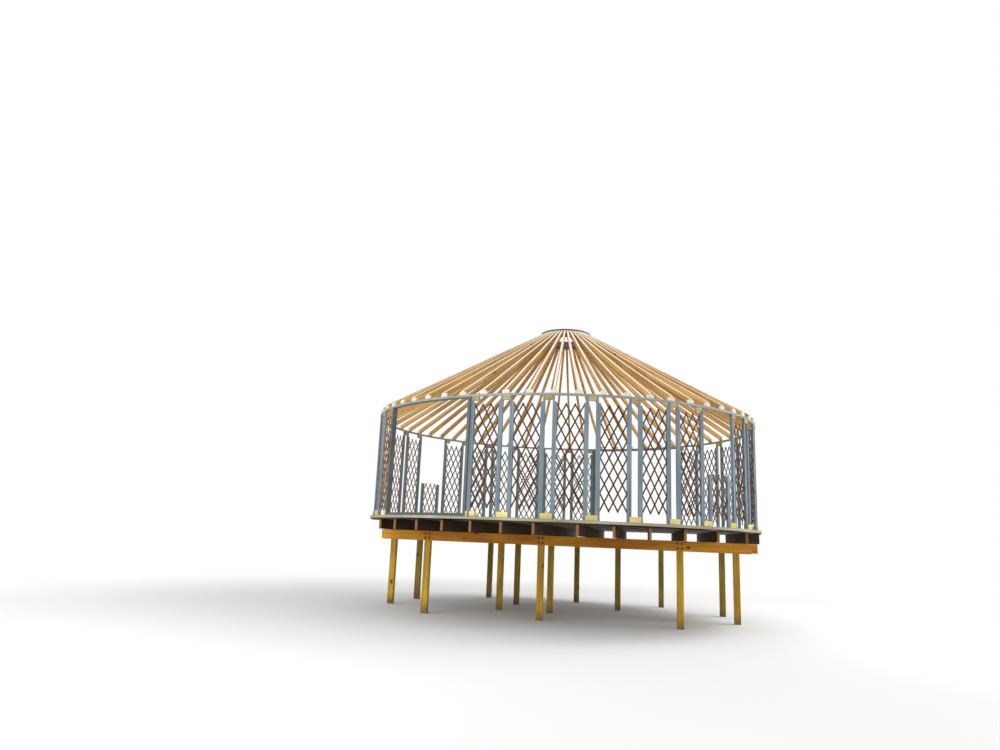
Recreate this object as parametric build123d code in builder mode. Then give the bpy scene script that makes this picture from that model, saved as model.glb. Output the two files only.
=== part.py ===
# Round timber yurt frame on a raised deck, before its cover goes on.
# Millimetres and degrees, +Z up, door facing -Y, origin on the ground under the centre.
import os
from math import acos, asin, atan2, cos, degrees, hypot, radians, sin, sqrt, tan

from build123d import *

# Ground, posts and bearers
deck_level = 1850.0  # deck surface over the lowest ground that a post reaches
post_side = 125.0
bearer_thick = 45.0
bearer_deep = 190.0
bearer_housing = 25.0  # depth of the rebate that takes the bearer in each post
splice_gap = 2.0  # butt joint between two lengths of bearer
platform_turn = 34.6  # bearers lie across this bearing from the door's centre line
outer_row_setback = 2530.0  # deck's edge to the front and third rows of posts
back_row_setback = 980.0

# How far each bearer's left and right ends stay inside the deck's edge
bearer_setbacks = {
    "front": (275.0, 40.0),
    "second": (60.0, 60.0),
    "third": (60.0, 60.0),
    "back": (60.0, 60.0),
}

# Posts of each row: from the bearer's left end, along it from the middle, from its right end
row_posts = {
    "front": (930.0, (-220.0,), 1283.0),
    "second": (281.0, (-1300.0, -210.0, 2480.0), 419.0),
    "third": (118.0, (-1185.0, 1155.0), 262.0),
    "back": (447.0, (80.0,), 447.0),
}

# Whether the bearer has a butt joint at each post, left to right
row_splices = {
    "front": (True, True, True),
    "second": (False, True, False, True, False),
    "third": (False, True, False, False),
    "back": (False, False, False),
}

# Joists and deck
joist_thick = 45.0
joist_deep = 190.0
edge_joist_setback = 820.0  # deck's edge to one joist on its own at the left
left_joist_setback = 1300.0  # deck's edge to the first of the left run of joists
right_joist_setback = 480.0  # deck's edge to the last of the right run
joist_gap = 720.0  # wider step between the two runs
joist_gap_place = 330.0  # middle of that step, right of the centre
run_count = 6  # joists in each run
joist_setback = 40.0  # clear of the deck's edge at each end
deck_overhang = 80.0  # middle of the wall to the deck's edge
deck_thick = 70.0
trimmer_place = 800.0  # before and behind the centre
trimmer_gap = 0.3

# Wall grid
wall_radius = 4000.0
bay_count = 34
door_bays = 3  # bays taken by each doorway
back_door_bay = 18  # middle bay of the second doorway, counted from the first
left_side_turn = 1.5  # turn of the whole left side of the wall toward the first doorway
window_bays = (8, 26)
wall_height = 2065.0  # deck to the underside of the wall ring
pair_wide = 200.0  # over the two studs where neighbouring panels meet
stud_wide = 37.0
stile_wide = 38.0  # edge member of a panel, on the lattice side of each stud
stile_drop = 105.0  # wall ring to the top of the stiles
stud_deep = 45.0
sill_height = 900.0  # top of the short studs and half panels at a window

# Blocks at the foot and head of each pair of studs
foot_block_deep = 90.0
foot_block_high = 90.0
head_block_high = 75.0
head_end_wide = 120.0  # head block beside a single stud
block_fit = 0.3  # clearance at each side of a block

# Lattice of crossed laths
lath_wide = 25.0
lath_thick = 9.0
diamonds_across = 3
diamonds_up = 6
window_diamonds_up = 2.5
lattice_foot = 165.0  # deck to the lowest crossings
lattice_head = 145.0  # highest crossings to the head of the studs
lath_tail = 18.0  # free end past the last crossing
lath_fit = 0.3  # clearance between a lath's end and its stile

# Wall ring, door frames
ring_side = 40.0
jamb_wide = 55.0
jamb_deep = 90.0
head_high = 20.0
threshold_high = 50.0
frame_deep = 50.0
frame_fit = 0.3

# Roof
rafter_count = 60
rafter_turn = 2.2  # bearing of the first rafter
rafter_wide = 45.0
rafter_deep = 90.0
crown_radius = 555.0  # inner face of the crown hoop
crown_plate = 8.0
crown_high = 190.0
crown_top = 4215.0  # hoop's top edge over the deck
rafter_drop = 35.0  # rafter tops below the hoop's top edge
crown_fit = 0.3
cheek_wide = 42.0
cheek_high = 72.0

# Worked out from the values above
deck_radius = wall_radius + deck_overhang
deck_under = deck_level - deck_thick
bearer_top = deck_under - joist_deep
bearer_under = bearer_top - bearer_deep
bay_turn = 360.0 / bay_count
bay_radius = wall_radius * cos(radians(bay_turn / 2))
bay_chord = 2 * wall_radius * sin(radians(bay_turn / 2))
stud_face = (bay_chord - pair_wide) / 2
panel_wide = 2 * (stud_face - stile_wide)
diamond_wide = panel_wide / diamonds_across
diamond_high = (wall_height - lattice_foot - lattice_head) / diamonds_up
stud_foot = deck_level + foot_block_high
stud_head = deck_level + wall_height
ring_top = stud_head + ring_side
lattice_level = deck_level + lattice_foot
door_bay_list = [m % bay_count for m in range(-(door_bays // 2), door_bays // 2 + 1)]
door_bay_list += [back_door_bay + m for m in range(-(door_bays // 2), door_bays // 2 + 1)]
panel_bays = [m for m in range(bay_count) if m not in door_bay_list]
roof_turn = 360.0 / rafter_count

# Bays of each quarter of the wall, in order round from the door
wall_quarters = {
    "right_front": [m for m in panel_bays if m <= window_bays[0]],
    "right_back": [m for m in panel_bays if window_bays[0] < m < back_door_bay],
    "left_back": [m for m in panel_bays if back_door_bay < m < window_bays[1]],
    "left_front": [m for m in panel_bays if m >= window_bays[1]],
}

os.makedirs("parts", exist_ok=True)


# Upright plane that faces outward at a bearing from the door, x to the right and y up
def wall_plane(turn, radius):
    a = radians(turn)
    return Plane(
        origin=(radius * sin(a), -radius * cos(a), 0),
        x_dir=(cos(a), sin(a), 0),
        z_dir=(sin(a), -cos(a), 0),
    )


# Upright plane through the centre line at a bearing, x outward and y up
def radial_plane(turn):
    a = radians(turn)
    return Plane(origin=(0, 0, 0), x_dir=(sin(a), -cos(a), 0), z_dir=(-cos(a), -sin(a), 0))


# Labels a piece and writes it
def save(piece, name):
    piece.part.label = name
    export_step(piece.part, f"parts/{name}.step")


# Half the length of a straight timber that stays inside a circle
def half_chord(radius, off_centre, thick):
    return sqrt(radius**2 - (abs(off_centre) + thick / 2) ** 2)


# Bearing of a bay's middle, with the left side's own turn
def bay_bearing(bay):
    return bay * bay_turn + (left_side_turn if bay > back_door_bay else 0)


# Level plane turned with the platform
def platform_plane(level):
    return Plane.XY.offset(level).rotated((0, 0, platform_turn))


# Rows of posts, each with its bearer: distance behind the centre
outer_row = deck_radius - outer_row_setback
rows_behind = {"front": -outer_row, "second": 0, "third": outer_row, "back": deck_radius - back_row_setback}

for row, behind in rows_behind.items():
    bearer_middle = behind - post_side / 2 + bearer_housing - bearer_thick / 2
    left_reach, right_reach = [
        half_chord(deck_radius - setback, bearer_middle, bearer_thick) for setback in bearer_setbacks[row]
    ]
    left_post, inner_posts, right_post = row_posts[row]
    stations = [left_post - left_reach, *inner_posts, right_reach - right_post]

    # Posts: square, rebated at the head for the bearer
    with BuildPart() as posts:
        with BuildSketch(platform_plane(0)):
            with Locations(*[(x, behind) for x in stations]):
                Rectangle(post_side, post_side)
        extrude(amount=bearer_top)
        with BuildSketch(platform_plane(bearer_under)):
            with Locations(*[(x, behind - post_side / 2 + bearer_housing / 2) for x in stations]):
                Rectangle(post_side, bearer_housing)
        extrude(amount=bearer_deep, mode=Mode.SUBTRACT)
    save(posts, f"posts_{row}")

    # Bearer: lengths butted over the posts, seated in the rebates
    joints = [x for x, spliced in zip(stations, row_splices[row]) if spliced]
    starts = [-left_reach, *[x + splice_gap / 2 for x in joints]]
    ends = [*[x - splice_gap / 2 for x in joints], right_reach]
    with BuildPart() as bearer:
        with BuildSketch(platform_plane(bearer_under)):
            for start, end in zip(starts, ends):
                with Locations(((start + end) / 2, bearer_middle)):
                    Rectangle(end - start, bearer_thick)
        extrude(amount=bearer_deep)
    save(bearer, f"bearer_{row}")

# Joists: across the bearers in two even runs, each as long as the round deck lets it be
joist_runs = (
    (left_joist_setback - deck_radius, joist_gap_place - joist_gap / 2),
    (joist_gap_place + joist_gap / 2, deck_radius - right_joist_setback),
)
joist_places = [edge_joist_setback - deck_radius]
for first, last in joist_runs:
    joist_places += [first + i * (last - first) / (run_count - 1) for i in range(run_count)]
with BuildPart() as joists:
    with BuildSketch(platform_plane(bearer_top)):
        for x in joist_places:
            reach = half_chord(deck_radius - joist_setback, x, joist_thick)
            with Locations((x, 0)):
                Rectangle(joist_thick, 2 * reach)
    extrude(amount=joist_deep)
save(joists, "joists")

# Trimmers: short boards under the deck's edge, past the last joist
trimmer_start = joist_places[-1] + joist_thick / 2 + trimmer_gap
trimmer_reach = half_chord(deck_radius - joist_setback, trimmer_place, joist_thick)
with BuildPart() as trimmers:
    with BuildSketch(platform_plane(bearer_top)):
        with Locations(*[((trimmer_start + trimmer_reach) / 2, side * trimmer_place) for side in (-1, 1)]):
            Rectangle(trimmer_reach - trimmer_start, joist_thick)
    extrude(amount=joist_deep)
save(trimmers, "trimmers")

# Deck: round platform on the joists
with BuildPart() as deck:
    with BuildSketch(Plane.XY.offset(deck_under)):
        Circle(deck_radius)
    extrude(amount=deck_thick)
save(deck, "deck")


# Studs and stiles: one of each at either side of a panel, short ones under a window
for quarter, bays in wall_quarters.items():
    members = (
        ("studs", stud_face + stud_wide / 2, stud_wide, stud_foot, stud_head),
        ("stiles", stud_face - stile_wide / 2, stile_wide, deck_level, stud_head - stile_drop),
    )
    for member, place, wide, foot, head in members:
        with BuildPart() as uprights:
            for bay in bays:
                top = deck_level + sill_height if bay in window_bays else head
                with BuildSketch(wall_plane(bay_bearing(bay), bay_radius - stud_deep / 2)):
                    with Locations(*[(side * place, (foot + top) / 2) for side in (-1, 1)]):
                        Rectangle(wide, top - foot)
            extrude(amount=stud_deep)
        save(uprights, f"{member}_{quarter}")


# Pairs of neighbouring bays in a list, then the bays with no neighbour at one side and that side
def pairs_and_ends(bays):
    pairs = [(m, (m + 1) % bay_count) for m in bays if (m + 1) % bay_count in bays]
    ends = [(m, side) for m in bays for side in (-1, 1) if (m + side) % bay_count not in bays]
    return pairs, ends


# Corner of a block on the level, at a place along a bay and a depth out from its middle
def block_corner(bay, along, depth):
    a = radians(bay_bearing(bay))
    radius = bay_radius + depth
    return (along * cos(a) + radius * sin(a), along * sin(a) - radius * cos(a))


# Blocks between the faces of two neighbouring bays, and beside the face of a bay with no neighbour
def block_outlines(bays, face, end_start, end_wide, deep):
    pairs, ends = pairs_and_ends(bays)
    for low_bay, high_bay in pairs:
        inner = [block_corner(low_bay, face, -deep / 2), block_corner(high_bay, -face, -deep / 2)]
        outer = [block_corner(high_bay, -face, deep / 2), block_corner(low_bay, face, deep / 2)]
        Polygon(*inner, *outer, align=None)
    for bay, side in ends:
        places = (side * end_start, side * (end_start + end_wide))
        inner = [block_corner(bay, x, -deep / 2) for x in places]
        outer = [block_corner(bay, x, deep / 2) for x in reversed(places)]
        Polygon(*inner, *outer, align=None)


# Foot blocks: carry each pair of studs between the stiles of two panels
foot_face = stud_face + block_fit
with BuildPart() as foot_blocks:
    with BuildSketch(Plane.XY.offset(deck_level)):
        block_outlines(panel_bays, foot_face, foot_face, stud_wide - block_fit, foot_block_deep)
    extrude(amount=foot_block_high)
save(foot_blocks, "foot_blocks")

# Head blocks: wedged between two full studs, and beside a single one, close under the ring
full_bays = [m for m in panel_bays if m not in window_bays]
head_face = stud_face + stud_wide + block_fit
with BuildPart() as head_blocks:
    with BuildSketch(Plane.XY.offset(stud_head - head_block_high)):
        block_outlines(full_bays, head_face, stud_face - block_fit - head_end_wide, head_end_wide, stud_deep)
    extrude(amount=head_block_high)
save(head_blocks, "head_blocks")


# Corners of one lath that rises to the right; its line crosses the panel's foot at place x
def lath_corners(x, rows):
    slope = atan2(diamond_high, diamond_wide)
    along = (cos(slope), sin(slope))
    across = (-sin(slope), cos(slope))
    low = max(0, x)
    high = min(diamonds_across, rows + x)
    edge = panel_wide / 2 - lath_fit
    corners = []
    for place, end, free in ((low, -1, x > 0), (high, 1, rows + x < diamonds_across)):
        point = (place * diamond_wide - panel_wide / 2, lattice_level + (place - x) * diamond_high)
        for side in (-end, end):
            shift = side * lath_wide / 2
            run = end * lath_tail
            if not free:
                run = (end * edge - point[0] - across[0] * shift) / along[0]
            corners.append((
                point[0] + across[0] * shift + along[0] * run,
                point[1] + across[1] * shift + along[1] * run,
            ))
    return corners


# Laths of one layer of a panel, each layer leaning its own way
def lath_layer(rows, lean):
    for x in range(-int(rows - 0.5), diamonds_across):
        outline = [(lean * px, py) for px, py in lath_corners(x, rows)]
        Polygon(*outline, align=None)


# Lattice: an outer and an inner layer that meet face to face at every crossing
for quarter, bays in wall_quarters.items():
    for layer, lean, face in (("outer", 1, bay_radius), ("inner", -1, bay_radius - lath_thick)):
        with BuildPart() as laths:
            for bay in bays:
                rows = window_diamonds_up if bay in window_bays else diamonds_up
                with BuildSketch(wall_plane(bay_bearing(bay), face)):
                    lath_layer(rows, lean)
            extrude(amount=lath_thick)
        save(laths, f"lattice_{layer}_{quarter}")

# Wall ring: steel ring on the studs, which carries the rafters
with BuildPart() as wall_ring:
    with BuildSketch(Plane.XZ):
        with Locations((wall_radius, stud_head + ring_side / 2)):
            Rectangle(ring_side, ring_side)
    revolve(axis=Axis.Z)
save(wall_ring, "wall_ring")

# Doorways: jambs beside the end studs, a curved head and a threshold in straight lengths
jamb_outer = stud_face + stud_wide + frame_fit
jamb_inner = jamb_outer + jamb_wide
next_bay = door_bays // 2 + 1
jamb_turn = degrees(asin((jamb_inner + frame_fit) / (wall_radius - frame_deep / 2)))
doorways = {
    "front": (bay_count - next_bay, next_bay),
    "back": (back_door_bay - next_bay, back_door_bay + next_bay),
}

for doorway, door_sides in doorways.items():
    low_turn, high_turn = [bay_bearing(bay) for bay in door_sides]
    with BuildPart() as jambs:
        for side, turn in ((1, low_turn), (-1, high_turn)):
            with BuildSketch(wall_plane(turn, bay_radius - jamb_deep / 2)):
                with Locations((side * (jamb_outer + jamb_inner) / 2, deck_level + wall_height / 2)):
                    Rectangle(jamb_wide, wall_height)
        extrude(amount=jamb_deep)
    save(jambs, f"door_jambs_{doorway}")

    rail_start = low_turn + jamb_turn
    rail_turn = (high_turn - low_turn) % 360 - 2 * jamb_turn
    with BuildPart() as door_head:
        with BuildSketch(radial_plane(rail_start)):
            with Locations((wall_radius, stud_head - head_high / 2)):
                Rectangle(frame_deep, head_high)
        revolve(axis=Axis.Z, revolution_arc=rail_turn)
    save(door_head, f"door_head_{doorway}")

    corners = [radians(rail_start + i * rail_turn / door_bays) for i in range(door_bays + 1)]
    outer_edge = [(wall_radius + frame_deep / 2, a) for a in corners]
    inner_edge = [(wall_radius - frame_deep / 2, a) for a in reversed(corners)]
    with BuildPart() as threshold:
        with BuildSketch(Plane.XY.offset(deck_level)):
            Polygon(*[(r * sin(a), -r * cos(a)) for r, a in outer_edge + inner_edge], align=None)
        extrude(amount=threshold_high)
    save(threshold, f"door_threshold_{doorway}")

# Crown hoop: deep steel band that the rafters lean against
with BuildPart() as crown_hoop:
    with BuildSketch(Plane.XZ):
        with Locations((crown_radius + crown_plate / 2, deck_level + crown_top - crown_high / 2)):
            Rectangle(crown_plate, crown_high)
    revolve(axis=Axis.Z)
save(crown_hoop, "crown_hoop")

# Pitch that takes a rafter of this depth from its seat on the ring to its place on the hoop
ring_outer = wall_radius + ring_side / 2
ring_inner = wall_radius - ring_side / 2
rafter_end = crown_radius + crown_plate + crown_fit
rafter_rise = deck_level + crown_top - rafter_drop - ring_top
rafter_run = ring_inner - rafter_end
pitch = acos(rafter_deep / hypot(rafter_rise, rafter_run)) - atan2(rafter_run, rafter_rise)
plumb_deep = rafter_deep / cos(pitch)
rafter_profile = [
    (ring_outer, ring_top),
    (ring_inner, ring_top),
    (rafter_end, ring_top + rafter_run * tan(pitch)),
    (rafter_end, ring_top + rafter_run * tan(pitch) + plumb_deep),
    (ring_outer, ring_top + plumb_deep - ring_side * tan(pitch)),
]

# Rafters: level seat on the ring and plumb cuts at both ends, a quarter of them in each node
quarter_count = rafter_count // len(wall_quarters)
for i, quarter in enumerate(wall_quarters):
    turns = [rafter_turn + (i * quarter_count + k) * roof_turn for k in range(quarter_count)]

    with BuildPart() as rafters:
        for turn in turns:
            with BuildSketch(radial_plane(turn)):
                Polygon(*rafter_profile, align=None)
        extrude(amount=rafter_wide / 2, both=True)
    save(rafters, f"rafters_{quarter}")

    # Cheeks: a block on the ring at each side of every rafter's foot
    cheek_place = rafter_wide / 2 + crown_fit + cheek_wide / 2
    with BuildPart() as cheeks:
        for turn in turns:
            with BuildSketch(wall_plane(turn, ring_inner)):
                with Locations(*[(side * cheek_place, ring_top + cheek_high / 2) for side in (-1, 1)]):
                    Rectangle(cheek_wide, cheek_high)
        extrude(amount=ring_side)
    save(cheeks, f"rafter_cheeks_{quarter}")
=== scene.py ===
import math

import bmesh
import bpy
import numpy as np
from mathutils import Matrix


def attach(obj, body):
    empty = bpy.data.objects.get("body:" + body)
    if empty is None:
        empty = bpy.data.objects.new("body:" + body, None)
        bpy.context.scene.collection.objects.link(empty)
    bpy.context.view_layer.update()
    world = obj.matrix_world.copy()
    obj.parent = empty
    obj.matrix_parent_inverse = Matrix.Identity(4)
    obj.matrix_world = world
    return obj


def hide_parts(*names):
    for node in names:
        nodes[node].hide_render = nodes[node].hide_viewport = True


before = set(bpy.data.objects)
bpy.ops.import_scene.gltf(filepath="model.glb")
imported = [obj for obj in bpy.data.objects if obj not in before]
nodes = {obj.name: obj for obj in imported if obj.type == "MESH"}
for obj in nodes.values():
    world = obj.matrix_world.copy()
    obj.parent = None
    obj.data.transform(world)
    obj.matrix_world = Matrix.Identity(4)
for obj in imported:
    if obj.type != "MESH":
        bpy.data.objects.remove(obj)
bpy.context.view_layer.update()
scene = bpy.context.scene
print("frame loaded:", len(nodes), "nodes")

yurt = {  # the real frame's own sizes, in metres and degrees
    "deckLevel": 1.85, "deckRadius": 4.08, "deckThick": 0.07, "boardDeep": 0.19,
    "platformTurn": 34.6,  # the bearers' direction, from the doorway's centre line
    "wallRadius": 4.0, "wallHeight": 2.065, "ringSide": 0.04,
    "bays": 34, "windowBays": (8, 26), "doorBays": (33, 0, 1, 17, 18, 19),
    "leftTurn": 1.5, "leftBays": range(20, 33),  # the left side of the wall stands nearer the doorway
    "pairWide": 0.2, "studWide": 0.037, "stileWide": 0.038, "studDeep": 0.045, "blockHigh": 0.09,
    "rafters": 60, "rafterTurn": 2.2, "rafterWide": 0.045, "rafterPitch": 30.0,
    "crownInner": 0.555, "crownTop": 6.065,
}
bayTurn = 360 / yurt["bays"]
bayRadius = yurt["wallRadius"] * math.cos(math.radians(bayTurn / 2))
bayChord = 2 * yurt["wallRadius"] * math.sin(math.radians(bayTurn / 2))
studFace = (bayChord - yurt["pairWide"]) / 2  # from a bay's middle to the stud
deckTop, deckUnder = yurt["deckLevel"], yurt["deckLevel"] - yurt["deckThick"]
studHead = yurt["deckLevel"] + yurt["wallHeight"]
turn = math.radians(yurt["platformTurn"])
platformX = np.array([math.cos(turn), math.sin(turn), 0])  # along the bearers
platformY = np.array([-math.sin(turn), math.cos(turn), 0])  # along the joists, away from the camera
upward = np.array([0, 0, 1.0])


def bayAxes(bay):  # outward and sideways directions of a bay of the wall
    angle = math.radians(bay * bayTurn + (yurt["leftTurn"] if bay in yurt["leftBays"] else 0))
    outward = np.array([math.sin(angle), -math.cos(angle), 0])
    return outward, np.array([math.cos(angle), math.sin(angle), 0])


# Metres from the deck to the lattice and from it to the ring, and its diamonds across and up a panel
lattice = {"foot": 0.165, "head": 0.145, "across": 3, "up": 6, "windowUp": 2.5, "lathThick": 0.009}
panelWidth = 2 * (studFace - yurt["stileWide"])
diamondWide = panelWidth / lattice["across"]
diamondHigh = (yurt["wallHeight"] - lattice["foot"] - lattice["head"]) / lattice["up"]
lathSlope = math.degrees(math.atan2(diamondHigh, diamondWide))


def toLinear(hexColour):  # an sRGB hex value such as "#C08432" as a linear colour, by sRGB's own curve
    parts = [int(hexColour[i:i + 2], 16) / 255 for i in (1, 3, 5)]
    return (*[v / 12.92 if v <= 0.04045 else ((v + 0.055) / 1.055) ** 2.4 for v in parts], 1.0)


# One shader node with its settings and what is linked into it. A key that is a number or the name of an
# input sets that input, and any other key sets the node's own property.
def addNode(tree, kind, settings=None, links=None):
    node = tree.nodes.new("ShaderNode" + kind)
    for key, value in (settings or {}).items():
        if isinstance(key, int) or key in node.inputs:
            node.inputs[key].default_value = value
        else:
            setattr(node, key, value)
    for key, source in (links or {}).items():
        tree.links.new(source, node.inputs[key])
    return node


def startMaterial(name):
    material = bpy.data.materials.new(name)
    material.use_nodes = True
    tree = material.node_tree
    return material, tree, tree.nodes["Principled BSDF"]


grains = {  # which way the grain runs: around which form, and the turn that takes Z onto the grain
    "upright": ("flat", (0, 0, 0)),
    "bearer": ("flat", (0, 90, yurt["platformTurn"])),
    "joist": ("flat", (0, 90, yurt["platformTurn"] + 90)),
    "outerLath": ("wall", (0, 90 - lathSlope, 0)),
    "innerLath": ("wall", (0, lathSlope - 90, 0)),
    "rafter": ("roof", (90 - yurt["rafterPitch"], 0, 0)),
    "wall": ("wall", (0, 90, 0)),
}
rafterShift = 0.37  # metres that the pattern moves on from one rafter to the next, so that no two are alike


# Place and normal of a point as the timber sees them. On the wall and the roof they are turned into arc
# length, distance from the centre line and height, so that the grain follows each piece round. The roof's
# arc is measured from the middle of the nearest rafter, so that its grain runs straight.
def grainFrame(tree, form):
    place = addNode(tree, "TexCoord").outputs["Object"]
    normal = addNode(tree, "NewGeometry").outputs["Normal"]
    if form == "flat":
        return place, normal
    axes = addNode(tree, "SeparateXYZ", links={0: place})
    flat = addNode(tree, "CombineXYZ", links={0: axes.outputs[0], 1: axes.outputs[1]}).outputs[0]
    radius = addNode(tree, "VectorMath", {"operation": "LENGTH"}, {0: flat}).outputs["Value"]
    angle = addNode(tree, "Math", {"operation": "ARCTAN2"},
                    {0: axes.outputs[1], 1: axes.outputs[0]}).outputs[0]
    if form == "wall":
        arc = addNode(tree, "Math", {"operation": "MULTIPLY", 1: yurt["wallRadius"]}, {0: angle})
    else:
        step = 2 * math.pi / yurt["rafters"]
        start = math.radians(yurt["rafterTurn"] - 90)
        count = addNode(tree, "Math", {"operation": "MULTIPLY_ADD", 1: 1 / step, 2: -start / step},
                        {0: angle}).outputs[0]
        rafter = addNode(tree, "Math", {"operation": "ROUND"}, {0: count}).outputs[0]
        beside = addNode(tree, "Math", {"operation": "SUBTRACT"}, {0: count, 1: rafter}).outputs[0]
        across = addNode(tree, "Math", {"operation": "MULTIPLY"}, {0: beside, 1: radius}).outputs[0]
        apart = addNode(tree, "Math", {"operation": "MULTIPLY", 1: rafterShift}, {0: rafter}).outputs[0]
        arc = addNode(tree, "Math", {"operation": "MULTIPLY_ADD", 1: step}, {0: across, 2: apart})
    turned = addNode(tree, "CombineXYZ", links={0: arc.outputs[0], 1: radius, 2: axes.outputs[2]})
    out = addNode(tree, "VectorMath", {"operation": "NORMALIZE"}, {0: flat}).outputs[0]
    side = addNode(tree, "VectorMath", {"operation": "CROSS_PRODUCT", 0: (0, 0, 1)}, {1: out}).outputs[0]
    parts = [addNode(tree, "VectorMath", {"operation": "DOT_PRODUCT"}, {0: normal, 1: axis}).outputs["Value"]
             for axis in (side, out)]
    height = addNode(tree, "SeparateXYZ", links={0: normal}).outputs[2]
    facing = addNode(tree, "CombineXYZ", links={0: parts[0], 1: parts[1], 2: height})
    return turned.outputs[0], facing.outputs[0]


marks = {  # where each mark starts and ends on its own pattern, and the least and most that it then gives
    "ring": (0.40, 0.66), "drift": (0.34, 0.66), "fibre": (0.35, 0.65), "gloss": (0.2, 0.8),
    "knotHalo": (-0.07, 0.0, 0.0, 0.5), "knotHeart": (-0.01, 0.04, 0.0, 0.92),
    "knotCells": (0.4, 1.0, -0.05),  # under 0.4 a cell has no knot
    "upperFace": (0.45, 0.7), "endFace": (0.6, 0.75),
    "soilReach": (-0.6, 0.8), "soilStrength": 0.75, "soil": "#5E4C38",
    "fibreLong": 30, "driftLong": 4, "knotLong": 1.6,  # how many times longer than wide each pattern is
    "fibreAway": 3.0, "driftAway": 7.0, "knotAway": 11.0,  # metres that keep the patterns off each other,
    "awayShares": (1, 0.7, 1.3),  # and how they divide over the three axes
    "paler": 0.7, "glossSpread": 0.08, "depth": 0.001,  # a stick is paler by less than it is darker
}


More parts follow.
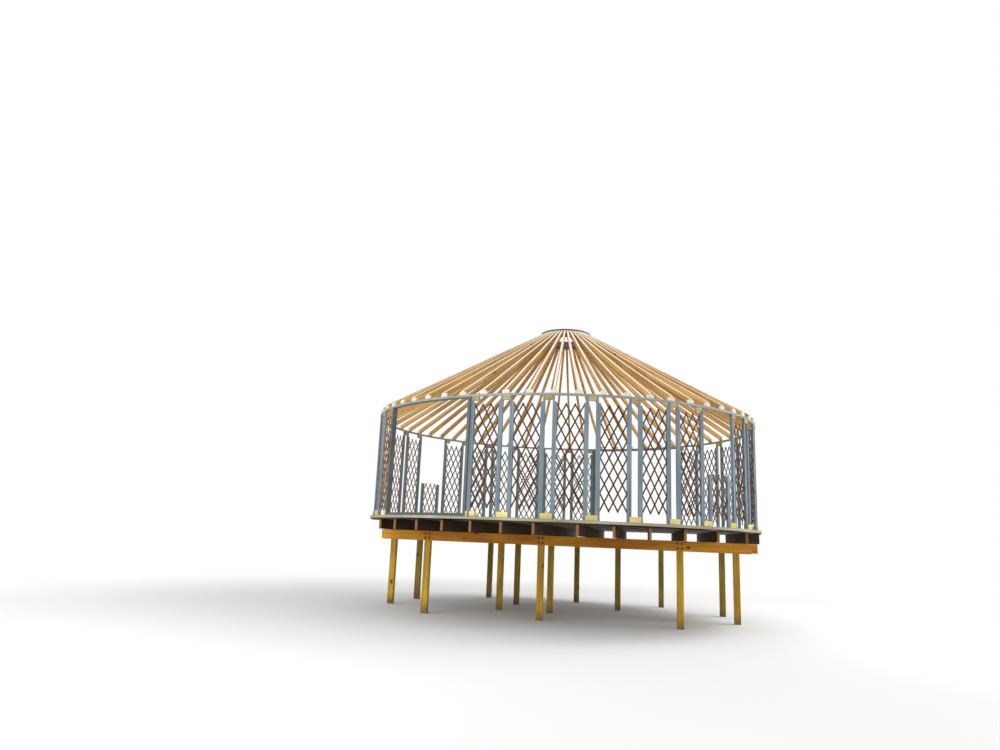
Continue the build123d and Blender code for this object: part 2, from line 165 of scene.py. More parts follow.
def makeTimber(name, look):  # softwood: rings as long streaks, fibres, drift of tone, knots, sawn ends
    material, tree, shader = startMaterial(name)
    form, spin = grains[look["grain"]]
    spin = tuple(math.radians(v) for v in spin)
    place, normal = grainFrame(tree, form)

    def stretched(across, along, away=0.0):  # the place in units of a pattern's own width and length
        settings = {"vector_type": "TEXTURE", "Rotation": spin, "Scale": (across, across, along),
                    "Location": tuple(away * share for share in marks["awayShares"])}
        return addNode(tree, "Mapping", settings, {"Vector": place}).outputs[0]

    def mixed(factor, under, over, blend="MIX"):  # colours may be hex values or sockets
        node = addNode(tree, "Mix", {"data_type": "RGBA", "blend_type": blend})
        for key, value in ((0, factor), (6, under), (7, over)):
            if isinstance(value, str):
                node.inputs[key].default_value = toLinear(value)
            elif isinstance(value, float):
                node.inputs[key].default_value = value
            else:
                tree.links.new(value, node.inputs[key])
        return node.outputs[2]

    def ramp(source, low, high, least=0.0, most=1.0):  # a smooth step from one value to the other
        settings = {"interpolation_type": "SMOOTHSTEP", 1: low, 2: high, 3: least, 4: most}
        return addNode(tree, "MapRange", settings, {0: source}).outputs[0]

    streak = addNode(tree, "TexNoise", {"Scale": 1.0, "Detail": 2.0, "Roughness": 0.55, "Distortion": 0.5},
                     {"Vector": stretched(look["ring"], look["ringLength"])}).outputs[0]
    fibre = stretched(look["fibre"], look["fibre"] * marks["fibreLong"], marks["fibreAway"])
    fibre = addNode(tree, "TexNoise", {"Scale": 1.0, "Detail": 1.0}, {"Vector": fibre}).outputs[0]
    drift = stretched(look["drift"], look["drift"] * marks["driftLong"], marks["driftAway"])
    drift = addNode(tree, "TexNoise", {"Scale": 1.0, "Detail": 2.0}, {"Vector": drift}).outputs[0]
    colour = mixed(ramp(streak, *marks["ring"]), look["early"], look["late"])
    drifted = mixed(ramp(drift, *marks["drift"]), look["driftDark"], "#FFFFFF")
    colour = mixed(look["driftStrength"], colour, drifted, "MULTIPLY")
    if look["knot"]:  # a knot sits in about half of the cells, each with its own size
        cells = stretched(look["knotStep"], look["knotStep"] * marks["knotLong"], marks["knotAway"])
        cells = addNode(tree, "TexVoronoi", {"Scale": 1.0}, {"Vector": cells})
        lot = addNode(tree, "SeparateColor", links={0: cells.outputs["Color"]}).outputs[0]
        size = ramp(lot, *marks["knotCells"], look["knotSize"])
        inside = addNode(tree, "Math", {"operation": "SUBTRACT"},
                         {0: size, 1: cells.outputs["Distance"]}).outputs[0]
        halo = mixed(ramp(inside, *marks["knotHalo"]), colour, look["late"])
        colour = mixed(ramp(inside, *marks["knotHeart"]), halo, look["knot"])
    if look["spread"]:  # each stick has its own tone
        island = addNode(tree, "NewGeometry").outputs["Random Per Island"]
        darkest, palest = 1 - look["spread"], 1 + look["spread"] * marks["paler"]
        tone = addNode(tree, "MapRange", {3: darkest, 4: palest}, {0: island}).outputs[0]
        colour = addNode(tree, "HueSaturation", links={"Value": tone, "Color": colour}).outputs[0]
    if look["topHighlight"]:  # painted highlight: upper faces made paler, as if lit from above
        facing = addNode(tree, "SeparateXYZ", links={0: normal}).outputs[2]
        litTop = ramp(facing, *marks["upperFace"], 0.0, look["topHighlightStrength"])
        colour = mixed(litTop, colour, look["topHighlight"])
    if look["soil"]:  # splashed earth at the foot, fading out upward
        height = addNode(tree, "SeparateXYZ", links={0: place}).outputs[2]
        uneven = addNode(tree, "Math", {"operation": "MULTIPLY_ADD", 1: -look["soil"]},
                         {0: drift, 2: height}).outputs[0]
        low, high = (look["soil"] * reach for reach in marks["soilReach"])
        soiled = ramp(uneven, low, high, marks["soilStrength"], 0.0)
        colour = mixed(soiled, colour, marks["soil"])
    if look["end"]:  # sawn ends, found by how far the face looks along the grain
        turnX, turnY, turnZ = (Matrix.Rotation(angle, 3, axis) for angle, axis in zip(spin, "XYZ"))
        grain = tuple((turnZ @ turnY @ turnX).col[2])
        along = addNode(tree, "VectorMath", {"operation": "DOT_PRODUCT", 1: grain}, {0: normal})
        facing = addNode(tree, "Math", {"operation": "ABSOLUTE"}, {0: along.outputs["Value"]}).outputs[0]
        sawn = mixed(ramp(fibre, *marks["fibre"]), look["end"], mixed(0.5, look["end"], look["late"]))
        colour = mixed(ramp(facing, *marks["endFace"]), colour, sawn)
    tree.links.new(colour, shader.inputs["Base Color"])
    smooth, rough = look["rough"] - marks["glossSpread"], look["rough"] + marks["glossSpread"]
    tree.links.new(ramp(fibre, *marks["gloss"], smooth, rough), shader.inputs["Roughness"])
    relief = addNode(tree, "Math", {"operation": "ADD"}, {0: streak, 1: fibre}).outputs[0]
    bump = addNode(tree, "Bump", {"Strength": look["bump"], "Distance": marks["depth"]}, {"Height": relief})
    tree.links.new(bump.outputs[0], shader.inputs["Normal"])
    shader.inputs["Specular IOR Level"].default_value = look["sheen"]
    return material


coat = {  # where the mottling starts and ends, how far the roughness strays, and the bump in metres
    "mottled": (0.35, 0.65), "smoother": 0.06, "rougher": 0.1, "depth": 0.0005,
}


def makeSteel(name, look):  # paint or zinc on steel: faint mottling and a light orange-peel bump
    material, tree, shader = startMaterial(name)
    place = addNode(tree, "TexCoord").outputs["Object"]
    mottle = addNode(tree, "TexNoise", {"Scale": 1 / look["mottle"], "Detail": 4.0, "Roughness": 0.6},
                     {"Vector": place}).outputs[0]
    peel = addNode(tree, "TexNoise", {"Scale": 1 / look["peel"], "Detail": 1.0},
                   {"Vector": place}).outputs[0]
    low, high = coat["mottled"]
    mask = addNode(tree, "MapRange", {1: low, 2: high}, {0: mottle}).outputs[0]
    dark, light = toLinear(look["dark"]), toLinear(look["light"])
    colour = addNode(tree, "Mix", {"data_type": "RGBA", 6: dark, 7: light}, {0: mask}).outputs[2]
    tree.links.new(colour, shader.inputs["Base Color"])
    smooth, rough = look["rough"] - coat["smoother"], look["rough"] + coat["rougher"]
    gloss = addNode(tree, "MapRange", {3: smooth, 4: rough}, {0: mottle})
    tree.links.new(gloss.outputs[0], shader.inputs["Roughness"])
    bump = addNode(tree, "Bump", {"Strength": look["bump"], "Distance": coat["depth"]}, {"Height": peel})
    tree.links.new(bump.outputs[0], shader.inputs["Normal"])
    shader.inputs["Metallic"].default_value = look["metal"]
    return material


# Sizes in metres. The rings are drawn 7 to 30 mm apart, coarser than the real 3 to 5 mm, so that they show
# at this distance.
softwood = {
    "ring": 0.012, "ringLength": 0.9, "fibre": 0.004, "rough": 0.68, "bump": 0.35, "sheen": 0.35,
    "drift": 0.25, "driftStrength": 0.6, "driftDark": "#C9B9A0", "spread": 0.08,
    "knot": "#4A3018", "knotStep": 0.2, "knotSize": 0.2,  # a knot's size is a share of the step
    "topHighlight": None, "topHighlightStrength": 0.8, "soil": None, "end": None,
}
treatedPost = dict(softwood, grain="upright", soil=0.22)
sawnBlock = dict(softwood, grain="wall", knot=None, ringLength=0.3)
stainedLath = dict(softwood, knot=None, ring=0.007, spread=0.3, end="#8A5B36")
timberLooks = {
    # treated pine posts, rough sawn, green turned to yellow: streaky and dull, earth at the foot
    "treatedPinePost": dict(treatedPost, early="#DDB430", late="#B68C1A", knot="#5A4218"),
    # painted shade: the rows of posts far under the deck, drawn darker and greener for the deck's shade on
    # them
    "paintedShadePinePost": dict(treatedPost, early="#A98F34", late="#836A1E", knot="#46361A"),
    # planed pine bearers, weathered to gold: long grain, dark knots and paler sawn ends
    "goldenPineBearer": dict(softwood, grain="bearer", early="#DA9A20", late="#BE7A12", driftDark="#C99A55",
                             knot="#42240D", knotStep=0.12, knotSize=0.24, end="#D9A650", rough=0.6),
    # sawn pine joists, painted dark as the deck's shade on them, and lighter at their sawn ends
    "sawnPineJoist": dict(softwood, grain="joist", early="#4A3320", late="#332212", knot="#1E130A",
                          end="#9E6C36"),
    # short boards, rough sawn, painted dark brown as the shade they sit in: even, with no knots
    "paintedShadeTrimmer": dict(softwood, grain="bearer", early="#482C19", late="#2E1A0E", knot=None),
    # grey-stained pine studs: matt, the grain just shows through
    "greyStainedStud": dict(softwood, grain="upright", early="#8798A1", late="#6E7E88", driftDark="#C7CDD2",
                            knot="#65717B", knotSize=0.14, rough=0.72, spread=0.05),
    # fresh sawn blocks: bright pale yellow
    "freshSawnBlock": dict(sawnBlock, early="#F5E9A2", late="#DECA7A"),
    # the same wood under the ring, painted a duller yellow as the ring's shade on it
    "paintedShadeHeadBlock": dict(sawnBlock, early="#C6B77D", late="#AA985B"),
    # brown stained laths: dark, some warmer, thin grain and a little gloss
    "brownStainedOuterLath": dict(stainedLath, grain="outerLath", early="#5E3A1F", late="#281A0E",
                                  driftDark="#A88C74", rough=0.55),
    "brownStainedInnerLath": dict(stainedLath, grain="innerLath", early="#6A4022", late="#2C1C10",
                                  driftDark="#A88C74", rough=0.55),
    # painted light: the laths left of the doorway, the same stain drawn tan as if in sunlight
    "paintedLightOuterLath": dict(stainedLath, grain="outerLath", early="#9C6D42", late="#5C3C21",
                           driftDark="#B49A80", rough=0.6),
    "paintedLightInnerLath": dict(stainedLath, grain="innerLath", early="#A87646", late="#644326",
                           driftDark="#B49A80", rough=0.6),
    # planed pine rafters, honey at the sides, with a painted highlight of cream on their upper faces, and
    # pale cream at their feet
    "honeyPineRafter": dict(softwood, grain="rafter", early="#E6BF7C", late="#BF8F4C", ring=0.018,
                            ringLength=1.6, knot="#6E441F", knotSize=0.17, spread=0.14, topHighlight="#FAF0DC",
                            topHighlightStrength=0.94, end="#F8F1E4"),
    # pale pine blocks at the rafters' feet, painted off-white as the sun's highlight on them: nearly even,
    # little grain showing
    "paintedHighlightCheek": dict(softwood, grain="wall", early="#F2EDE4", late="#E4DCCF", driftDark="#DDD6CB",
                              knot=None, bump=0.15, spread=0.03),
    # floor boards: planed pine with a dusty film, each board in its own tone
    "dustyFloorBoard": dict(softwood, grain="bearer", early="#D6C19C", late="#B4966A", ring=0.008, drift=0.1,
                            driftStrength=0.4, knot="#7C5B38", knotSize=0.15, rough=0.7, spread=0.2),
    # plywood under the boards, painted dark brown as the shade under the deck: smooth and even
    "paintedShadePlywood": dict(softwood, grain="joist", early="#2C2119", late="#221912", ring=0.03, knot=None,
                             bump=0.12, rough=0.5, spread=0.05),
    # weathered board bent round the deck's edge: grey-beige
    "weatheredRimBoard": dict(softwood, grain="wall", early="#B4B5A0", late="#97957C", ring=0.009,
                              knot=None),
}
steelLooks = {
    # powder coat on the door frames: dark blue-grey satin
    "powderCoatedDoorSteel": {"dark": "#434B4F", "light": "#51595C", "mottle": 0.3, "peel": 0.004,
                              "rough": 0.45, "bump": 0.1, "metal": 0.0},
    # pale grey paint on the rolled wall ring: a faint mottle and a dull shine
    "greyPaintedRing": {"dark": "#808A86", "light": "#98A19B", "mottle": 0.25, "peel": 0.004,
                        "rough": 0.5, "bump": 0.12, "metal": 0.0},
    # raw steel of the crown hoop, brown-grey mill scale, matt
    "millScaleHoop": {"dark": "#4E463F", "light": "#6A6056", "mottle": 0.12, "peel": 0.004,
                      "rough": 0.58, "bump": 0.14, "metal": 0.35},
    # zinc-plated bolts and screws: dull bright
    "zincPlatedBolt": {"dark": "#6E7276", "light": "#9A9EA2", "mottle": 0.03, "peel": 0.003,
                       "rough": 0.42, "bump": 0.1, "metal": 1.0},
    # dark brown bolt heads and lath pins: on the bearer bolts the dark is painted shade, on the lath pins
    # their own blackened finish
    "blackenedAndShadedBolt": {"dark": "#2E241C", "light": "#4A3C30", "mottle": 0.02, "peel": 0.003,
                    "rough": 0.6, "bump": 0.2, "metal": 0.6},
}
materials = {name: makeTimber(name, look) for name, look in timberLooks.items()}
materials |= {name: makeSteel(name, look) for name, look in steelLooks.items()}
print("materials made:", len(materials))

finishes = {  # what each group of nodes is made of: the longest start that fits a node's name counts
    "posts": "treatedPinePost",
    # the third and back rows of posts take the painted shade of the deck
    "posts_third": "paintedShadePinePost",
    "posts_back": "paintedShadePinePost",
    "bearer": "goldenPineBearer",
    "joists": "sawnPineJoist",
    "trimmers": "paintedShadeTrimmer",
    "deck": "weatheredRimBoard",
    "foot": "freshSawnBlock",
    "studs": "greyStainedStud",
    "stiles": "greyStainedStud",
    # the head blocks take the painted shade of the ring
    "head": "paintedShadeHeadBlock",
    "lattice_outer": "brownStainedOuterLath",
    "lattice_inner": "brownStainedInnerLath",
    # the left-front laths take painted light
    "lattice_outer_left_front": "paintedLightOuterLath",
    "lattice_inner_left_front": "paintedLightInnerLath",
    "door": "powderCoatedDoorSteel",
    "wall_ring": "greyPaintedRing",
    "rafters": "honeyPineRafter",
    "rafter_cheeks": "paintedHighlightCheek",
    "crown": "millScaleHoop",
}
for nodeName, node in nodes.items():
    start = max((key for key in finishes if nodeName.startswith(key)), key=len)
    node.data.materials.clear()
    node.data.materials.append(materials[finishes[start]])
print("finishes given to the nodes")


def showPiece(name, mesh):  # an object for a mesh, on the only body
    piece = bpy.data.objects.new(name, mesh)
    scene.collection.objects.link(piece)
    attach(piece, "root")
    return piece


# A loft: point [k, i, j] is point j of the closed profile at station i of solid k. Neighbouring stations
# are joined by four-sided faces, and the first and last profile close the ends.
def addLofts(name, points, finish):
    points = np.asarray(points, float)
    solids, stations, around = points.shape[:3]
    index = np.arange(solids * stations * around).reshape(solids, stations, around)
    a, b = index[:, :-1], index[:, 1:]
    quads = np.stack([a, np.roll(a, -1, 2), np.roll(b, -1, 2), b], -1).reshape(-1, 4)
    faces = quads.tolist() + index[:, 0, ::-1].tolist() + index[:, -1].tolist()
    first = points[0]
    centre = first.reshape(-1, 3).mean(0)
    swept = np.cross(first[0] - centre, np.roll(first[0], -1, 0) - centre)
    if (swept * (first[1] - centre)).sum() < 0:  # the sign of the volume tells which way the faces look
        faces = [face[::-1] for face in faces]
    mesh = bpy.data.meshes.new(name)
    mesh.from_pydata(points.reshape(-1, 3).tolist(), [], faces)
    mesh.materials.append(materials[finish])
    return showPiece(name, mesh)


# A turned shape: radius and height of each ring about an axis, one copy at each centre
def addTurned(name, rings, sides, centres, axes, finish):
    centres, axes = np.array(centres, float), np.array(axes, float)
    leaning = upward + np.array([0.013, 0.007, 0])  # so that it is along none of the axes
    side = np.cross(axes, leaning)
    side /= np.linalg.norm(side, axis=1)[:, None]
    other = np.cross(axes, side)
    angles = np.arange(sides) * 2 * math.pi / sides
    circle = np.cos(angles)[None, :, None] * side[:, None] + np.sin(angles)[None, :, None] * other[:, None]
    radii, heights = np.array(rings, float).T
    points = (centres[:, None, None] + radii[None, :, None, None] * circle[:, None]
              + heights[None, :, None, None] * axes[:, None, None])
    return addLofts(name, points, finish)


easing = {  # width of the eased edges in metres, by the start of the node's name
    "posts": 0.005, "bearer": 0.003, "joists": 0.003, "trimmers": 0.003, "studs": 0.003, "stiles": 0.003,
    "rafters_": 0.003, "foot": 0.003, "head": 0.002, "lattice": 0.0015, "door_jambs": 0.004,
    "door_thresh": 0.004,
}
edges = {"merge": 0.00002, "flat": 0.5, "sharp": 30}  # points nearer than this are one; angles in degrees


def easedCopy(nodeName, width):  # the node's own solids with their sharp edges taken off, which stand for it
    mesh = nodes[nodeName].data.copy()
    work = bmesh.new()
    work.from_mesh(mesh)
    bmesh.ops.remove_doubles(work, verts=work.verts, dist=edges["merge"])
    bmesh.ops.dissolve_limit(work, angle_limit=math.radians(edges["flat"]),
                             verts=work.verts, edges=work.edges)
    work.to_mesh(mesh)
    work.free()
    piece = showPiece(nodeName + "_eased", mesh)
    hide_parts(nodeName)
    ease = piece.modifiers.new("ease", "BEVEL")
    ease.width, ease.segments = width, 1
    ease.limit_method, ease.angle_limit = "ANGLE", math.radians(edges["sharp"])


for nodeName in sorted(nodes):
    for start, width in easing.items():
        if nodeName.startswith(start):
            easedCopy(nodeName, width)
print("edges eased on the timbers")

deck = {
    "boardWidth": 0.135, "boardThick": 0.021, "boardGap": 0.004, "chamfer": 0.003, "acrossPoints": 7,
    "seed": 5, "shortest": 0.3, "jointsApart": 1,  # shortest piece at the rim, and between two joints
    "sheetWidth": 1.2, "sheetLength": 2.4, "sheetGap": 0.003, "sheetChamfer": 0.0005, "sheetUnder": 0.0005,
    "rimThick": 0.012, "rimGap": 0.001, "rimHigh": 0.05, "rimEase": 0.003,
    "rimBoards": 9, "rimSteps": 33, "rimJoint": 0.02,  # half a joint, in degrees
}
innerRadius = yurt["deckRadius"] - deck["rimThick"] - deck["rimGap"]
joistLines = [-3.26, *np.linspace(-2.78, -0.03, 6), *np.linspace(0.69, 3.6, 6)]  # metres along the bearers
boardCount = math.ceil(2 * innerRadius / deck["boardWidth"])
random = np.random.default_rng(deck["seed"])
boardEnds = [random.choice(joistLines[2:-2], 2, replace=False) for _ in range(boardCount)]  # over joists
boardEnds = [sorted(pair) if abs(pair[0] - pair[1]) > deck["jointsApart"] else [pair[0]]
             for pair in boardEnds]


# Rows of boards across the disc. A board's cross-section is carried along the row, and each of its points
# stops where its own line meets the circle, so the ends follow the curve.
def boardRows(width, gap, low, high, chamfer, joints):
    count = math.ceil(2 * innerRadius / width)
    sides = -innerRadius + np.arange(count + 1) * (2 * innerRadius / count)
    solids = []
    for row in range(count):
        left, right = sides[row] + gap / 2, sides[row + 1] - gap / 2
        across = np.linspace(left + chamfer, right - chamfer, deck["acrossPoints"])
        y = np.concatenate([[left, left], across, [right, right], across[::-1]])
        z = np.concatenate([[low, high - chamfer], np.full(len(across), high), [high - chamfer, low],
                            np.full(len(across), low)])
        reach = np.sqrt(np.maximum(innerRadius ** 2 - y ** 2, 1e-4))  # over zero at the outermost edge too
        inner = [np.full(len(y), x) for x in joints(row) if abs(x) < reach.min() - deck["shortest"]]
        stops = [-reach, *inner, reach]
        for i in range(len(stops) - 1):
            start = stops[i] + (gap / 2 if i else 0)
            end = stops[i + 1] - (gap / 2 if i < len(stops) - 2 else 0)
            solids.append([x[:, None] * platformX + y[:, None] * platformY + z[:, None] * upward
                           for x in (start, end)])
    return solids


def sheetEnds(row):  # every second row of sheets starts half a sheet further on
    return [(i + row % 2 / 2) * deck["sheetLength"] for i in (-1, 0, 1)]


floorLow = deckTop - deck["boardThick"]
floor = boardRows(deck["boardWidth"], deck["boardGap"], floorLow, deckTop, deck["chamfer"],
                  lambda row: boardEnds[row])
addLofts("floor_boards", floor, "dustyFloorBoard")
# the sheets are dark with painted shade
sheets = boardRows(deck["sheetWidth"], deck["sheetGap"], deckUnder, floorLow - deck["sheetUnder"],
                   deck["sheetChamfer"], sheetEnds)
addLofts("underlay_sheets", sheets, "paintedShadePlywood")


# A curved bar: a closed profile (radius, height) carried round the centre line, one solid for each arc. A
# point is its radius times the outward direction at its angle, plus its height.
def arcBar(arcs, profile, steps):
    angles = np.radians(np.linspace(*np.array(arcs).T, steps)).T
    outward = np.stack([np.sin(angles), -np.cos(angles), np.zeros_like(angles)], -1)
    radii, heights = np.array(profile).T
    return radii[:, None] * outward[:, :, None] + heights[:, None] * upward


rimOuter, rimInner = yurt["deckRadius"], yurt["deckRadius"] - deck["rimThick"]
rimLow, rimEase = deckTop - deck["rimHigh"], deck["rimEase"]
rimProfile = [(rimInner, rimLow), (rimOuter - rimEase, rimLow), (rimOuter, rimLow + rimEase),
              (rimOuter, deckTop - rimEase), (rimOuter - rimEase, deckTop), (rimInner, deckTop)]
rimTurn, rimJoint = 360 / deck["rimBoards"], deck["rimJoint"]
rimArcs = [(i * rimTurn + rimJoint, (i + 1) * rimTurn - rimJoint) for i in range(deck["rimBoards"])]
rimBars = arcBar(rimArcs, rimProfile, deck["rimSteps"])
rimBoard = addLofts("rim_board", rimBars, "weatheredRimBoard")
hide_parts("deck")

screw = {"head": [(0.0045, -0.001), (0.0045, 0.0003), (0.002, 0.0006)], "sides": 6,
         "inset": 0.032, "margin": 0.03}  # from a board's edges and from the rim
rowStep = 2 * innerRadius / boardCount
screwPlaces = []
for row in range(boardCount):
    left, right = -innerRadius + row * rowStep, -innerRadius + (row + 1) * rowStep
    for y in (left + screw["inset"], right - screw["inset"]):
        reach = math.sqrt(max(innerRadius ** 2 - y ** 2, 0)) - screw["margin"]
        screwPlaces += [x * platformX + y * platformY + deckTop * upward
                        for x in joistLines if abs(x) < reach]
addTurned("floor_screws", screw["head"], screw["sides"], screwPlaces, [upward] * len(screwPlaces),
          "zincPlatedBolt")
print("deck boarded, floor screws:", len(screwPlaces))

bolts = {  # rings of radius and height for each part, and metres from the middle of the bearer and the post
    "rise": 0.045, "splice": 0.04, "bearerFace": 0.0825, "postBack": 0.0625,
    "washer": [(0.019, 0), (0.019, 0.003)],
    "head": [(0.0125, 0.002), (0.0125, 0.005), (0.011, 0.0085), (0.006, 0.0115)],
    "nut": [(0.013, 0.003), (0.013, 0.0145), (0.0115, 0.016)],
    "stub": [(0.006, 0.01), (0.006, 0.026), (0.005, 0.028)],
}
rows = {  # distance behind the centre, posts along the row, and which of them carry a butt joint
    "front": (-1.55, (-2.508, -0.22, 2.409), (-2.508, -0.22, 2.409)),
    "second": (0.0, (-3.738, -1.3, -0.21, 2.48, 3.6), (-1.3, 2.48)),
    "third": (1.55, (-3.607, -1.185, 1.155, 3.463), (-1.185,)),
    "back": (3.1, (-2.157, 0.08, 2.157), ()),
}
bearerMiddle = deckUnder - yurt["boardDeep"] * 1.5  # the bearers hang under the joists
boltFronts, boltBacks = [], []
for behind, stations, splices in rows.values():
    for x in stations:
        for along in ((-bolts["splice"], bolts["splice"]) if x in splices else (0.0,)):
            for rise in (-bolts["rise"], bolts["rise"]):
                place = (x + along) * platformX + (bearerMiddle + rise) * upward
                boltFronts.append(place + (behind - bolts["bearerFace"]) * platformY)
                boltBacks.append(place + (behind + bolts["postBack"]) * platformY)
# the bolts' dark brown is painted shade
for name, part, sides, places, axis in (
        ("bolt_washers_front", "washer", 16, boltFronts, -platformY),
        ("bolt_heads", "head", 14, boltFronts, -platformY),
        ("bolt_washers_back", "washer", 16, boltBacks, platformY),
        ("bolt_nuts", "nut", 6, boltBacks, platformY),
        ("bolt_ends", "stub", 10, boltBacks, platformY)):
    addTurned(name, bolts[part], sides, places, [axis] * len(places), "blackenedAndShadedBolt")
print("bolts placed:", len(boltFronts))

endBlock = {"wide": 0.1, "deep": 0.09, "high": 0.088, "gap": 0.001, "ease": 0.003,
            "places": ((2, -1), (16, 1), (20, -1), (32, 1))}  # bay and side of it


# A short block on the deck beside the stile at each side of a doorway: a rectangle carried upward, drawn in
# a little at its foot and head
def blockBeside(bay, side):
    outward, along = bayAxes(bay)
    start = studFace - yurt["stileWide"] - endBlock["gap"] - endBlock["wide"] / 2
    centre = side * start * along + bayRadius * outward
    high, ease = endBlock["high"], endBlock["ease"]
    heights = deckTop + np.array([0, ease, high - ease, high])[:, None, None]
    insets = np.array([ease, 0, 0, ease])[:, None]
    x = (endBlock["wide"] / 2 - insets) * np.array([-1, 1, 1, -1])
    y = (endBlock["deep"] / 2 - insets) * np.array([-1, -1, 1, 1])
    return centre + x[..., None] * along + y[..., None] * outward + heights * upward


endBlocks = [blockBeside(bay, side) for bay, side in endBlock["places"]]
addLofts("end_blocks", endBlocks, "freshSawnBlock")
print("end blocks placed")

pins = {"head": [(0.0065, 0), (0.006, 0.002), (0.003, 0.0035)], "sides": 6}
studScrews = {"head": [(0.005, 0), (0.0045, 0.0008), (0.002, 0.0012)], "sides": 6, "fromEnd": 0.03}
pinCentres, pinAxes, studCentres, studAxes = [], [], [], []
for bay in range(yurt["bays"]):
    if bay in yurt["doorBays"]:
        continue
    outward, along = bayAxes(bay)
    up = lattice["windowUp"] if bay in yurt["windowBays"] else lattice["up"]
    for i in range(1, 2 * lattice["across"]):  # the laths cross at every half diamond
        for j in range(i % 2, int(2 * up) + 1, 2):
            place = along * (i / 2 * diamondWide - panelWidth / 2)
            place = place + upward * (deckTop + lattice["foot"] + j / 2 * diamondHigh)
            pinCentres += [place + outward * (bayRadius + lattice["lathThick"]),
                           place + outward * (bayRadius - lattice["lathThick"])]
            pinAxes += [outward, -outward]
    heads = [deckTop + yurt["blockHigh"] + studScrews["fromEnd"]]
    if bay not in yurt["windowBays"]:
        heads.append(studHead - studScrews["fromEnd"])
    for side in (-1, 1):
        for height in heads:
            for face in (-1, 1):
                place = along * side * (studFace + yurt["studWide"] / 2) + upward * height
                studCentres.append(place + outward * (bayRadius + face * yurt["studDeep"] / 2))
                studAxes.append(outward * face)
addTurned("lath_pins", pins["head"], pins["sides"], pinCentres, pinAxes, "blackenedAndShadedBolt")
addTurned("stud_screws", studScrews["head"], studScrews["sides"], studCentres, studAxes, "zincPlatedBolt")
print("lath pins and stud screws:", len(pinCentres), len(studCentres))

cheek = {"wide": 0.042, "high": 0.064, "fit": 0.0003, "chamfer": 0.02, "ease": 0.002}
ringTop = studHead + yurt["ringSide"]
ringInner = yurt["wallRadius"] - yurt["ringSide"] / 2
rafterAngles = np.radians(yurt["rafterTurn"] + np.arange(yurt["rafters"]) * 360 / yurt["rafters"])
rafterOut = np.stack([np.sin(rafterAngles), -np.cos(rafterAngles), np.zeros(len(rafterAngles))], -1)
rafterSide = np.stack([np.cos(rafterAngles), np.sin(rafterAngles), np.zeros(len(rafterAngles))], -1)
quarters = ["right_front", "right_back", "left_back", "left_front"]

# A cheek: a five-sided outline (across, height) on the ring, carried outward over its width, one at each side
# of a rafter. The outline shrinks toward its middle at both ends, which takes the sharp edges off.
low, high, chamfer = ringTop, ringTop + cheek["high"], cheek["chamfer"]
inside = yurt["rafterWide"] / 2 + cheek["fit"]
outline = np.array([(inside, low), (inside + cheek["wide"], low), (inside + cheek["wide"], high - chamfer),
                    (inside + cheek["wide"] - chamfer, high), (inside, high)])
middle = outline.mean(0)
shrink = 1 - cheek["ease"] / (cheek["wide"] / 2)
depths = ringInner + np.array([0, cheek["ease"], yurt["ringSide"] - cheek["ease"], yurt["ringSide"]])
sections = middle + (outline - middle) * np.array([shrink, 1, 1, shrink])[:, None, None]
for quarter, name in enumerate(quarters):
    chosen = np.arange(quarter * yurt["rafters"] // 4, (quarter + 1) * yurt["rafters"] // 4).repeat(2)
    mirror = np.where(np.arange(len(chosen)) % 2, 1, -1)
    side, out = (mirror[:, None] * rafterSide[chosen])[:, None, None], rafterOut[chosen][:, None, None]
    solids = sections[..., :1] * side + depths[:, None, None] * out + sections[..., 1:] * upward
    solids[::2] = solids[::2, :, ::-1]  # the mirrored ones run the other way round
    # their near-white is a painted highlight
    cheeks = addLofts("cheeks_" + name, solids, "paintedHighlightCheek")
    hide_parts("rafter_cheeks_" + name)

cheekScrews = {"head": [(0.0055, 0), (0.005, 0.001), (0.002, 0.0016)], "sides": 6, "rise": 0.035}
cheekFaces = rafterOut * (ringInner + yurt["ringSide"]) + upward * (ringTop + cheekScrews["rise"])
screwCentres = np.concatenate([cheekFaces + side * (inside + cheek["wide"] / 2) * rafterSide
                               for side in (-1, 1)])
addTurned("cheek_screws", cheekScrews["head"], cheekScrews["sides"], screwCentres,
          np.concatenate([rafterOut, rafterOut]), "zincPlatedBolt")
print("cheeks and their screws placed")

hoopBolts = {"head": [(0.014, 0), (0.014, 0.0025), (0.0095, 0.0025), (0.0095, 0.0095), (0.007, 0.0105)],
             "sides": 6, "drop": 0.09}
hoopPlaces = rafterOut * yurt["crownInner"] + upward * (yurt["crownTop"] - hoopBolts["drop"])
addTurned("crown_bolts", hoopBolts["head"], hoopBolts["sides"], hoopPlaces, -rafterOut, "zincPlatedBolt")
print("crown bolts placed")

studio = {"floor": "#EDEDEC", "floorRough": 0.9, "floorSize": 60.0, "fade": (6.5, 13.5), "world": 0.7,
          "lampAim": 2.5}  # the floor turns white between two distances; the lamps look at this height
lamps = {  # bearing from the camera's own, in degrees, then height, distance and size in metres, and watts
    "keyLamp": (110, 14, 12, 7, 1100.0),
    "sideLamp": (80, 4, 13, 6, 500.0),
    "fillLamp": (-35, 6, 14, 10, 760.0),
}
view = {  # the bearing in degrees and the other turns in radians, the focal length in pixels of the picture
    "distance": 16.4889, "height": 1.5425, "bearing": 40.76, "aside": 0.0887, "tilt": 0.2123, "roll": 0.0415,
    "focal": 746.94, "pictureWide": 1000, "sensorWide": 36, "seesTo": 200,
}


def seenDirectly(tree):  # 1 where the camera, a gloss or glass looks straight at a surface
    path = addNode(tree, "LightPath")
    seen = addNode(tree, "Math", {"operation": "MAXIMUM"},
                   {0: path.outputs["Is Camera Ray"], 1: path.outputs["Is Glossy Ray"]})
    return addNode(tree, "Math", {"operation": "MAXIMUM"},
                   {0: seen.outputs[0], 1: path.outputs["Is Transmission Ray"]}).outputs[0]


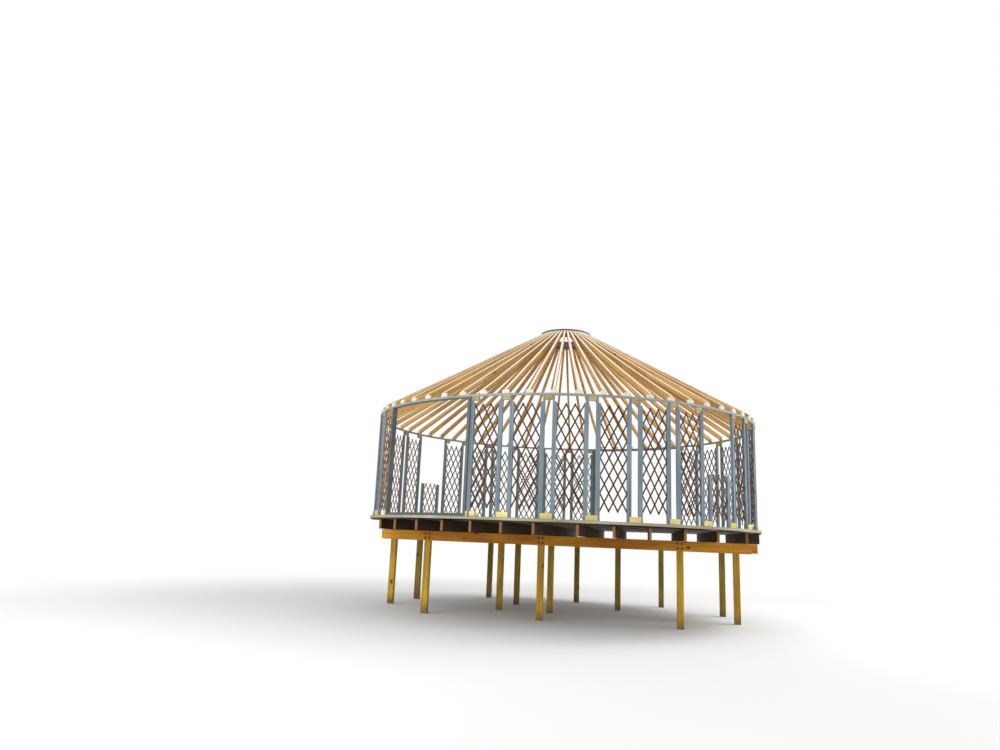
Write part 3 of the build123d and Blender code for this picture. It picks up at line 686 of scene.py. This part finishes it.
def makeFloor():  # pale, and fading to white far out
    material, tree, shader = startMaterial("paleFloor")
    shader.inputs["Base Color"].default_value = toLinear(studio["floor"])
    shader.inputs["Roughness"].default_value = studio["floorRough"]
    place = addNode(tree, "TexCoord").outputs["Object"]
    away = addNode(tree, "VectorMath", {"operation": "LENGTH"}, {0: place}).outputs["Value"]
    near, far = studio["fade"]
    fade = addNode(tree, "MapRange", {"interpolation_type": "SMOOTHSTEP", 1: near, 2: far}, {0: away})
    blend = addNode(tree, "Math", {"operation": "MULTIPLY"}, {0: fade.outputs[0], 1: seenDirectly(tree)})
    white = addNode(tree, "Emission", {"Color": (1, 1, 1, 1), "Strength": 1.0})
    mixed = addNode(tree, "MixShader",
                    links={0: blend.outputs[0], 1: shader.outputs[0], 2: white.outputs[0]})
    tree.links.new(mixed.outputs[0], tree.nodes["Material Output"].inputs["Surface"])
    half = studio["floorSize"] / 2
    corners = [(-half, -half, 0), (half, -half, 0), (half, half, 0), (-half, half, 0)]
    mesh = bpy.data.meshes.new("studio_floor")
    mesh.from_pydata(corners, [], [(0, 1, 2, 3)])
    mesh.materials.append(material)
    ground = bpy.data.objects.new("studio_floor", mesh)
    scene.collection.objects.link(ground)


def makeSky():  # an even pale light, which is white where it is seen directly
    world = bpy.data.worlds.new("softSky")
    world.use_nodes = True
    scene.world = world
    tree = world.node_tree
    tree.nodes.clear()
    level = addNode(tree, "Mix", {2: studio["world"], 3: 1.0}, {0: seenDirectly(tree)})
    sky = addNode(tree, "Background", {"Color": (1, 1, 1, 1)}, {"Strength": level.outputs[0]})
    addNode(tree, "OutputWorld", links={"Surface": sky.outputs[0]})


def standHolder(name, data, side, over, back, place):  # a lamp or camera with its three axes turned this way
    holder = bpy.data.objects.new(name, data)
    holder.matrix_world = Matrix([*zip(side, over, back, place), (0, 0, 0, 1)])
    scene.collection.objects.link(holder)
    return holder


def addLamp(name, bearing, height, distance, size, power):
    angle = math.radians(view["bearing"] + bearing)
    lamp = bpy.data.lights.new(name, "AREA")
    lamp.energy, lamp.size = power, size
    place = np.array([distance * math.sin(angle), -distance * math.cos(angle), height])
    back = place - upward * studio["lampAim"]
    back /= np.linalg.norm(back)
    side = np.cross(upward, back)
    side /= np.linalg.norm(side)
    standHolder(name, lamp, side, np.cross(back, side), back, place)


def placeCamera():  # stands at the bearing, looks a little aside of the centre and up, and leans
    angle = math.radians(view["bearing"])
    away = np.array([-math.sin(angle), math.cos(angle), 0])
    right = np.array([math.cos(angle), math.sin(angle), 0])
    ahead = math.cos(view["aside"]) * away - math.sin(view["aside"]) * right
    side = math.cos(view["aside"]) * right + math.sin(view["aside"]) * away
    forward = math.cos(view["tilt"]) * ahead + math.sin(view["tilt"]) * upward
    over = -math.sin(view["tilt"]) * ahead + math.cos(view["tilt"]) * upward
    rolledSide = math.cos(view["roll"]) * side + math.sin(view["roll"]) * over
    rolledOver = math.cos(view["roll"]) * over - math.sin(view["roll"]) * side
    place = -view["distance"] * away + view["height"] * upward
    camera = bpy.data.cameras.new("photoView")
    camera.sensor_width = view["sensorWide"]
    camera.lens = view["focal"] * view["sensorWide"] / view["pictureWide"]
    camera.clip_end = view["seesTo"]
    scene.camera = standHolder("photoView", camera, rolledSide, rolledOver, -forward, place)


makeFloor()
makeSky()
for name, settings in lamps.items():
    addLamp(name, *settings)
placeCamera()
scene.view_settings.view_transform = "Standard"
print("stage, lamps and camera ready")
